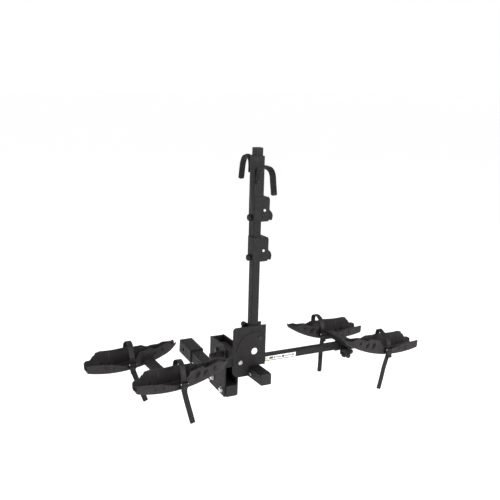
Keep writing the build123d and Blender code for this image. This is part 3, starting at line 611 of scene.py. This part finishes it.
def buckle_flap(side, row, base):
    """Buckle's flap: a barrel round the axle, a thin plate, a lip at the bottom and three grip ribs."""
    x = STRAP_X[side, row]
    inner, top = TRAY_HALF + FLAP_PIVOT_OUT, base + FLAP_PIVOT_UP
    profile = arc(inner, top, 4.0, 4.0, math.pi)
    plate = [(-4.0, -2.0), (-2.2, -4.2), (0.7, -5.5), (0.8, -28.0)]
    lip = [(1.4, -34.0), (2.4, -34.6), (5.4, -33.6), (5.0, -30.5), (3.6, -27.0), (3.6, -20.0)]
    ribs = [point for k in range(3) for point in ((4.3, 3 * k - 18.5), (3.6, 3 * k - 17.0))]
    profile += [(inner + d, top + h) for d, h in plate + lip + ribs]
    cy, cz = inner + 2.0, top - 14.0
    rings = []
    for u, fat, tall in ((-9.8, 0.94, 0.985), (-9.2, 1.0, 1.0), (9.2, 1.0, 1.0), (9.8, 0.94, 0.985)):
        rings.append([(x + u, ROW[row] - cy - (py - cy) * fat, cz + (pz - cz) * tall) for py, pz in profile])
    lever = f"{side}_{row}_lever"
    build(f"{side}_{row}_flap", *loft(rings), GRIP, lever, "buckle_plastic", (lever,))


# ---- wheel trays --------------------------------------------------------------------------------
# heights of the walls above the floor, as (distance from the lowest point, height)
HIGH_WALL = [
    (-105, 28), (-84, 34), (-66, 54), (-58, 66), (-40, 71), (60, 72), (90, 64), (112, 60), (150, 42),
    (200, 28), (245, 20),
]
LOW_WALL = [
    (-105, 34), (-60, 38), (-20, 37), (-5, 33), (10, 30), (30, 25), (66, 25), (78, 42), (92, 60),
    (136, 60), (152, 48), (190, 46), (245, 19),
]
# slots as (distance from the lowest point, height of the middle, length, lean in degrees, width)
UPRIGHT_SLOTS = [(-40, 23.0, 16.0, 0.0, 5.0), (-8, 20.0, 14.0, 0.0, 5.0)]
LOW_SLOTS = [(120, 31.0, 22.0, -45.0, 4.2), (150, 29.0, 22.0, -45.0, 4.2), (184, 28.0, 12.0, -45.0, 4.2)]
HIGH_SLOTS = [(120, 31.0, 22.0, -45.0, 3.8), (150, 25.0, 19.0, -45.0, 3.8), (184, 24.0, 9.0, -45.0, 3.8)]
TRAY_STEPS = 140
TIP_HALF = 15.0
LOWEST_WALL = 14.5


def tray_section(low, high, half):
    """U section as (forward, up) pairs: low and high wall with beaded rims, and a grooved floor."""
    t, bead = 3.0, 1.3
    low_face = [(half, low - 1.2), (half, low - 5.5), (half - bead, low - 7.0), (half - bead, 9.0)]
    under = [
        (half - 3.5, 2.5), (half - 9.0, 0.0), (9.0, 0.0), (6.5, 1.6), (-6.5, 1.6), (-9.0, 0.0),
        (-half + 9.0, 0.0), (-half + 3.5, 2.5),
    ]
    high_face = [(-half + bead, 9.0), (-half + bead, high - 7.0), (-half, high - 5.5), (-half, high - 1.2)]
    high_rim = [(-half + 1.2, high), (-half + t + 0.2, high), (-half + t + 1.2, high - 1.2)]
    floor = [
        (-half + t + bead, 13.0), (-half + 9.5, 7.2), (-10.0, 5.4), (-6.0, 3.8), (6.0, 3.8), (10.0, 5.4),
        (half - 9.5, 7.2), (half - t - bead, 13.0),
    ]
    low_rim = [(half - t - 1.2, low - 1.2), (half - t - 0.2, low), (half - 1.2, low)]
    return low_face + under + high_face + high_rim + floor + low_rim


def slot_cutter(low_x, wall_y, out, slot):
    """Round-ended bar through a wall."""
    s, up, length, lean, width = slot
    cx, cz = low_x - out * s, tray_bottom(s) + up
    c, d = math.cos(math.radians(lean)), math.sin(math.radians(lean))
    outline = []
    for k in range(20):
        a = 2 * math.pi * k / 20
        half_straight = (length - width) / 2 * (1 if math.sin(a) >= 0 else -1)
        px, pz = width / 2 * math.cos(a), width / 2 * math.sin(a) + half_straight
        outline.append((cx + px * c - pz * d, cz + px * d + pz * c))
    return loft([[(x, wall_y + side, z) for x, z in outline] for side in (-9.0, 9.0)])


def wheel_tray(side, row):
    """Moulded tray round the wheel's curve: a low front wall, a high rear one and slots in both."""
    low_x, row_y, out = TRAY_X[side, row], ROW[row], OUT[side]
    rings = []
    for i in range(TRAY_STEPS + 1):
        s = TRAY_OUT + (TRAY_IN - TRAY_OUT) * i / TRAY_STEPS
        tip = min((s - TRAY_OUT) / 14.0 + 0.55, (TRAY_IN - s) / 42.0, 1.0)
        half = TIP_HALF + (TRAY_HALF - TIP_HALF) * (1 - (1 - tip) ** 1.6)
        fade = 0.62 + 0.38 * tip
        low, high = (max(eased(wall, s) * fade, LOWEST_WALL) for wall in (LOW_WALL, HIGH_WALL))
        x, floor = low_x - out * s, tray_bottom(s)
        rings.append([(x, row_y - v, floor + h) for v, h in tray_section(low, high, half)])
    node = f"{side}_{row}_tray"
    tray = build(node + "_moulding", *loft(rings), MOULDED, side + "_arm", "tray_plastic", (node,))
    # second material: painted shade for the slots' cut sides
    tray.data.materials.append(PAINTED_SLOT_SHADE)

    cutters = []
    for low_slot, high_slot in zip(UPRIGHT_SLOTS + LOW_SLOTS, UPRIGHT_SLOTS + HIGH_SLOTS):
        cutters.append(slot_cutter(low_x, row_y - TRAY_HALF, out, low_slot))
        cutters.append(slot_cutter(low_x, row_y + TRAY_HALF, out, high_slot))
    mesh = mesh_in_mm("cut", *merge(*cutters))
    # the cutter's faces take index 1, so the slots' sides come out in the painted shade material
    mesh.materials.append(MOULDED)
    mesh.materials.append(PAINTED_SLOT_SHADE)
    for face in mesh.polygons:
        face.material_index = 1
    cutter = new_object("cut", mesh)
    holes = tray.modifiers.new("slots", "BOOLEAN")
    holes.operation = "DIFFERENCE"
    holes.solver = "EXACT"
    holes.object = cutter
    bpy.context.view_layer.update()
    graph = bpy.context.evaluated_depsgraph_get()
    cut_mesh = bpy.data.meshes.new_from_object(tray.evaluated_get(graph))
    tray.modifiers.clear()
    tray.data = cut_mesh
    bpy.data.objects.remove(cutter)
    tray.data.set_sharp_from_angle(angle=math.radians(SHARP_ANGLE))


# ---- hooks --------------------------------------------------------------------------------------
def hook_arm_section(s, length):
    f = s / length
    return oval(19.6 - 1.6 * math.sin(math.pi * f), 13.6 + 3.0 * (1 - smoothstep(0.0, 0.5, f)))


def hook_pad_section(s, length):
    """Wider than the arm, with ridges along it and a rounded end."""
    past = max(0.0, s - (length - 6.0)) / 6.2
    end = math.sqrt(max(0.0, 1 - past ** 2))
    w = 20.5 * (1.0 + 0.08 * smoothstep(0.0, 12.0, s)) * (0.4 + 0.6 * end)
    thick = 14.2 * (0.3 + 0.7 * end)
    groove = smoothstep(14.0, 24.0, s) * smoothstep(length - 4.0, length - 9.0, s)
    ring = []
    for u, v in oval(w, thick, 56, 3.6):
        if abs(u) < w * 0.43:
            v *= 1 - 0.24 * groove * (0.5 + 0.5 * math.cos(2 * math.pi * u / 5.6 + math.pi))
        ring.append((u, v))
    return ring


def hook(name, side, root):
    """Hook arm with its foot plate and screw, and the pad on its drop."""
    arm, drop = HOOKS[name]
    foot = arm[0][1]
    carriage = name + "_carriage"
    bar = sweep([(ROW_Y + side * d, z) for d, z in arm], HOOK_X, 2.0, hook_arm_section)
    y0, y1 = sorted((ROW_Y + side * (root + 0.1), ROW_Y + side * (root + 6.5)))
    plate = rounded_box((HOOK_X - 10, y0, foot - 20.0), (HOOK_X + 10, y1, foot + 17.0), 2.0)
    build(f"{name}_hook_arm_coated", *merge(bar, plate), RUBBER, carriage, "rubber", (f"{name}_hook_arm",))
    head = place(hex_head(4.4, 3.0), (HOOK_X, ROW_Y + side * (root + 6.4), foot - 13.0), (0, side, 0))
    build(f"{name}_hook_screw", *head, BLACK_OXIDE, carriage, "dark_bolt")
    pad = sweep([(ROW_Y + side * d, z) for d, z in drop], HOOK_X, 1.6, hook_pad_section)
    build(f"{name}_hook_pad_ridged", *pad, RUBBER, carriage, "rubber", (f"{name}_hook_pad",), 50.0)


# ---- knobs and triggers -------------------------------------------------------------------------
def star_knob(side):
    """Five-lobed knob in front of the arm's clamp, and the screw through both of its legs."""
    x, leg = ARM_X[side], ROW_Y - 22.9
    body = side + "_star_knob"
    forward, backward = (0, -1, 0), (0, 1, 0)

    def lobes(a, r):
        return r if r < 16.0 else r + 4.6 * math.cos(5 * a) - 1.1 * math.cos(10 * a)

    hub = [(13.0, 0.5), (13.8, 1.2), (13.8, 8.0)]
    lobe = [(17.0, 8.8), (21.0, 9.8), (23.4, 11.6), (24.0, 13.6), (24.0, 21.5), (23.0, 24.4), (20.6, 26.2)]
    cap = [(14.5, 27.0), (12.0, 27.4), (11.6, 28.6), (10.0, 29.4), (7.4, 29.4), (7.0, 27.4), (0.01, 27.2)]
    knob = place(lathe(hub + lobe + cap, 110, lobes), (x, leg - 0.4, PINCH_Z), forward)
    stud = place(threaded(4.2, 1.0), (x, leg - 27.8, PINCH_Z), forward)
    shaft = lathe([(4.3, 0.0), (4.8, 0.8), (4.8, 52.0), (0.01, 52.0)], 24)
    screw = place(shaft, (x, leg + 50.0, PINCH_Z), forward)
    tip = place(threaded(4.8, 3.0), (x, ROW_Y + 31.0, PINCH_Z), backward)
    build(body + "_moulded", *knob, GRIP, body, "cap_plastic", (body,), 40.0)
    build(body + "_screw", *merge(stud, screw, tip), BLACK_OXIDE, body, "dark_bolt")


def ribbed_knob(name, origin, axis, radius, length, neck, neck_length):
    """Grip knob with flutes on a metal neck; origin is where the grip starts."""
    def flutes(a, r):
        return r - (0.8 if r > radius * 0.85 else 0.0) * (0.5 - 0.5 * math.cos(16 * a))

    start = [(radius * 0.7, 0.0), (radius * 0.94, 0.8), (radius, 2.4)]
    end = [(radius, length - 3.4), (radius * 0.92, length - 1.2), (radius * 0.7, length)]
    dish = [(radius * 0.45, length), (radius * 0.4, length - 0.7), (0.01, length - 0.7)]
    grip = place(lathe(start + end + dish, 96, flutes), origin, axis)
    build(name + "_grip", *grip, GRIP, name, "cap_plastic", (name,), 40.0)
    base = Vector(origin) - Vector(axis) * neck_length
    shaft = [(neck - 0.5, 0.0), (neck, 0.6), (neck, neck_length + 1.0), (0.01, neck_length + 1.0)]
    build(name + "_shaft", *place(lathe(shaft), base, axis), ZINC, name, "zinc")


def release_lever(name, low):
    """Finger trigger on the carriage's right side: a plate with a rounded, ribbed front edge."""
    line = [(38.0, 44.0), (46.0, 42.5), (54.0, 38.0), (61.0, 27.0), (62.6, 17.0), (59.5, 3.5)]
    path, _ = smooth_path([Vector((x, 0, low + up)) for x, up in line], 0.9)
    outline = []
    for i, (p, t) in enumerate(zip(path, tangents(path))):
        rib = 0.55 if i > 24 and i % 4 < 2 else 0.0
        outline.append((p.x - t.z * rib, p.z + t.x * rib))
    back = [(54.5, 2.6), (53.5, 12.0), (51.0, 24.0), (46.5, 31.5), (38.0, 32.5), (35.0, 38.0)]
    outline += [(x, low + up) for x, up in back]
    cx, cz = 50.0, low + 26.0
    front_y, back_y = ROW_Y - 18.0, ROW_Y - 5.0
    rings = []
    for y, keep in ((front_y, 0.95), (front_y + 1.0, 1.0), (back_y - 1.0, 1.0), (back_y, 0.95)):
        rings.append([(cx + (x - cx) * keep, y, cz + (z - cz) * keep) for x, z in outline])
    build(f"{name}_lever_curved", *loft(rings), GRIP, f"{name}_lever", "cap_plastic", (f"{name}_lever",))


# ---- assemble -----------------------------------------------------------------------------------
STEEL = {
    "hitch": [
        "hitch_shank", "adapter_sleeve", "riser_plate_left", "riser_plate_right", "riser_web",
        "tilt_pin_housing",
    ],
    "platform": ["spine_tube", "front_plate", "rear_plate", "crossbar", "mast_pin_housing"],
    "mast": ["mast_foot", "mast_tube"],
    "near_carriage": ["near_block"],
    "far_carriage": ["far_block", "far_riser"],
    "left_arm": ["left_arm_tube", "left_clamp", "left_brackets"],
    "right_arm": ["right_arm_tube", "right_clamp", "right_brackets"],
}
for body, members in STEEL.items():
    for node in members:
        soften(node, body, COAT, 0.9 if "plate" in node else 0.7)
soften("shank_end_cap", "hitch", CAP, 1.2)
soften("end_caps", "platform", CAP, 1.2)
soften("mast_cap", "mast", CAP, 0.6)
soften("spine_top_pad", "platform", RUBBER, 0.4)
soften("tilt_bushes", "hitch", NYLON, 0.4)

LEFTWARD, RIGHTWARD = (-1, 0, 0), (1, 0, 0)
FORWARD, BACKWARD = (0, -1, 0), (0, 1, 0)

heads, nuts = [], []
for along, up in RISER_BOLTS:
    y, z = shank_point(along, up)
    heads.append(bolt((-SIDE_X, y, z), LEFTWARD, 9.0, 7.5, 12.0))
    nuts.append(nut((SIDE_X, y, z), RIGHTWARD, 9.0, 8.5, 12.0, 6.0, 2.5))
build("riser_bolt_set", *merge(*heads, *nuts), ZINC, "hitch", "zinc", ("riser_bolts",))

tilt_set = [
    bolt((-SIDE_X, TILT_PIVOT_Y, SPINE_Z), LEFTWARD, 10.4, 6.5, 14.0),
    nut((SIDE_X, TILT_PIVOT_Y, SPINE_Z), RIGHTWARD, 10.4, 8.0, 14.0, 7.0, 1.6),
]
build("tilt_bolt_set", *merge(*tilt_set), BLACK_OXIDE, "hitch", "dark_bolt", ("tilt_pivot_bolt",))

frame_set = [
    place(washer(8.5, WASHER_T), (PLATE_BOLT_X, PLATE_FRONT, PLATE_BOLT_Z), FORWARD),
    place(hex_head(6.5, 3.6), (PLATE_BOLT_X, PLATE_FRONT - 1.9, PLATE_BOLT_Z), FORWARD),
    nut((PLATE_BOLT_X, PLATE_BACK, PLATE_BOLT_Z), BACKWARD, 8.0, 7.0, 9.0, 5.0, 1.5),
    place(hex_head(6.5, 4.6), (-SPINE_HALF, SIDE_BOLT_Y, SIDE_BOLT_Z), LEFTWARD),
    place(hex_head(6.5, 5.6), (SPINE_HALF, SIDE_BOLT_Y, SIDE_BOLT_Z), RIGHTWARD),
]
build("frame_bolt_set", *merge(*frame_set), ZINC, "platform", "zinc", ("frame_bolts",))

pivot_head = lathe([(8.4, 0.0), (8.4, 1.4), (7.2, 2.8), (5.0, 3.5), (3.2, 3.6), (3.0, 2.2), (0.01, 2.2)], 40)
fold_set = [
    place(pivot_head, (MAST_PIVOT_X, PLATE_FRONT, MAST_PIVOT_Z), FORWARD),
    nut((MAST_PIVOT_X, PLATE_BACK, MAST_PIVOT_Z), BACKWARD, 9.3, 7.6, 10.4, 6.0, 1.5),
]
build("mast_pivot_set", *merge(*fold_set), BLACK_OXIDE, "platform", "dark_bolt", ("mast_pivot_bolt",))

for side in OUT:
    star_knob(side)
    bodies, pins = [], []
    for row in ROW:
        wheel_tray(side, row)
        base = ladder_strap(side, row)
        part, pin = buckle(side, row, base)
        bodies.append(part)
        pins.append(pin)
        buckle_flap(side, row, base)
    arm = side + "_arm"
    build(f"{side}_buckle_bodies", *merge(*bodies), GRIP, arm, "buckle_plastic", (f"{side}_buckles",))
    build(f"{side}_buckle_pins", *merge(*pins), ZINC, arm, "zinc")

for name, side, root in (("near", -1, 20.0), ("far", 1, 32.5)):
    low = BLOCK_BOTTOM[name]
    hook(name, side, root)
    ribbed_knob(f"{name}_knob", (-21.2, ROW_Y, low + 15.0), LEFTWARD, 12.3, 12.6, 4.5, 4.4)
    release_lever(name, low)
    screws = []
    for edge in (-1, 1):
        screws.append(place(hex_head(5.2, 3.8), (23.0, ROW_Y + edge * 22.0, low + 43.0), (0, edge, 0)))
    build(f"{name}_fastener_set", *merge(*screws), ZINC, f"{name}_carriage", "zinc", (f"{name}_fasteners",))

ribbed_knob("tilt_pin", (-SIDE_X - 35.2, TILT_PIN_Y, SPINE_Z), LEFTWARD, 11.8, 22.5, 4.8, 42.0)
ribbed_knob("mast_pin", (MAST_PIN_X, PLATE_BACK + 27.0, MAST_PIN_Z), BACKWARD, 10.8, 18.5, 3.9, 32.1)

for sx, tag in ((-1, "l"), (1, "r")):
    x = sx * (SHANK_HALF - 1.4)
    y0, z0 = shank_point(-286.0, SHANK_HALF)
    y1, z1 = shank_point(-432.0, SHANK_HALF)
    weld(f"riser_weld_{tag}", (x, y0 - 4, z0 + 1.0), (x, y1, z1 + 1.0), "hitch", 2.4)
for sx, tag in ((-1, "l"), (1, "r")):
    x, z = sx * 22.0, SPINE_TOP + 0.4
    weld(f"bar_weld_{tag}", (x, BAR_FRONT + 1.0, z), (x, BAR_BACK - 1.0, z), "platform", 2.3)
y, z = BAR_BACK + 0.6, BAR_TOP + 0.4
weld("ear_weld", (-60.0, y, z), (-6.0, y, z), "platform", 2.0)
y, z = BAR_BACK + 0.4, SPINE_TOP + 0.6
weld("bar_weld_rear", (-20.0, y, z), (20.0, y, z), "platform", 2.3)

# label: the CAD's own pale plate, with plain shapes standing a little proud of it
plate = NODES["label_plate"]
plate.data.materials.clear()
plate.data.materials.append(LABEL)
LABEL_Y = BAR_FRONT - 0.62
LABEL_Z = 159.5


def label_mark(x, width, height):
    lo = (x, LABEL_Y - 0.12, LABEL_Z - height / 2)
    hi = (x + width, LABEL_Y + 0.1, LABEL_Z + height / 2)
    return rounded_box(lo, hi, 0.1, 1)


marks = []
x = 68.0
for width, height in ((17.0, 9.0), (5.0, 9.0), (26.0, 3.4), (10.0, 9.0), (30.0, 3.4), (8.0, 7.0)):
    marks.append(label_mark(x, width, height))
    x += width + 3.0
build("label_marks", *merge(*marks), LABEL_INK, "platform", "label")
build("label_tint", *label_mark(52.0, 12.0, 14.0), LABEL_TINT, "platform", "label")

# ---- stage, light and camera --------------------------------------------------------------------
FLOOR_Z = -0.45
REACH = 60.0
mesh = bpy.data.meshes.new("floor")
corners = ((-REACH, -REACH), (REACH, -REACH), (REACH, REACH), (-REACH, REACH))
mesh.from_pydata([(x, y, FLOOR_Z) for x, y in corners], [], [(0, 1, 2, 3)])
floor_mat, _, floor_shader = new_material("floor", (0.9, 0.9, 0.9), 0.95, level=0.1)
floor_shader.inputs["Emission Color"].default_value = (1.0, 1.0, 1.0, 1.0)
floor_shader.inputs["Emission Strength"].default_value = 0.62
mesh.materials.append(floor_mat)
new_object("floor", mesh)

# a white room with a darker ceiling
world = bpy.data.worlds.new("studio")
bpy.context.scene.world = world
world.use_nodes = True
room = world.node_tree
where = room.nodes.new("ShaderNodeTexCoord")
split = room.nodes.new("ShaderNodeSeparateXYZ")
room.links.new(where.outputs["Generated"], split.inputs[0])
ceiling = ramp(room, split.outputs["Z"], 0.16, 0.62, (1.0, 1.0, 1.0), (0.28, 0.28, 0.28))
room.links.new(ceiling, room.nodes["Background"].inputs["Color"])

AIM = Vector((0.0, -0.55, 0.35))


def area_light(name, spot, size, power):
    """Square light, aimed at AIM."""
    light = bpy.data.lights.new(name, "AREA")
    light.size = size
    light.energy = power
    obj = new_object(name, light)
    obj.location = spot
    obj.rotation_mode = "QUATERNION"
    obj.rotation_quaternion = (AIM - Vector(spot)).to_track_quat("-Z", "Y")


area_light("key", (1.7, -3.6, 2.0), 2.4, 110.0)
area_light("fill", (-3.0, -1.8, 1.4), 2.4, 34.0)
area_light("top", (0.2, 0.4, 3.4), 2.6, 26.0)

CAMERA_AT = (-1.3661, -3.1399, 1.2418)
AZIMUTH, ELEVATION, ROLL = (math.radians(v) for v in (-27.97, 12.68, 1.552))
cam_data = bpy.data.cameras.new("camera")
cam_data.sensor_width = 36.0
cam_data.lens = 56.26
camera = new_object("camera", cam_data)
level = Vector((math.sin(AZIMUTH), -math.cos(AZIMUTH), 0.0)) * math.cos(ELEVATION)
back = level + Vector((0.0, 0.0, math.sin(ELEVATION)))
right = Vector((math.cos(AZIMUTH), math.sin(AZIMUTH), 0.0))
up = back.cross(right)
right_rolled = right * math.cos(ROLL) + up * math.sin(ROLL)
up_rolled = up * math.cos(ROLL) - right * math.sin(ROLL)
turn = Matrix((right_rolled, up_rolled, back)).transposed()
camera.matrix_world = Matrix.Translation(CAMERA_AT) @ turn.to_4x4()
bpy.context.scene.camera = camera
bpy.context.scene.view_settings.view_transform = "Standard"
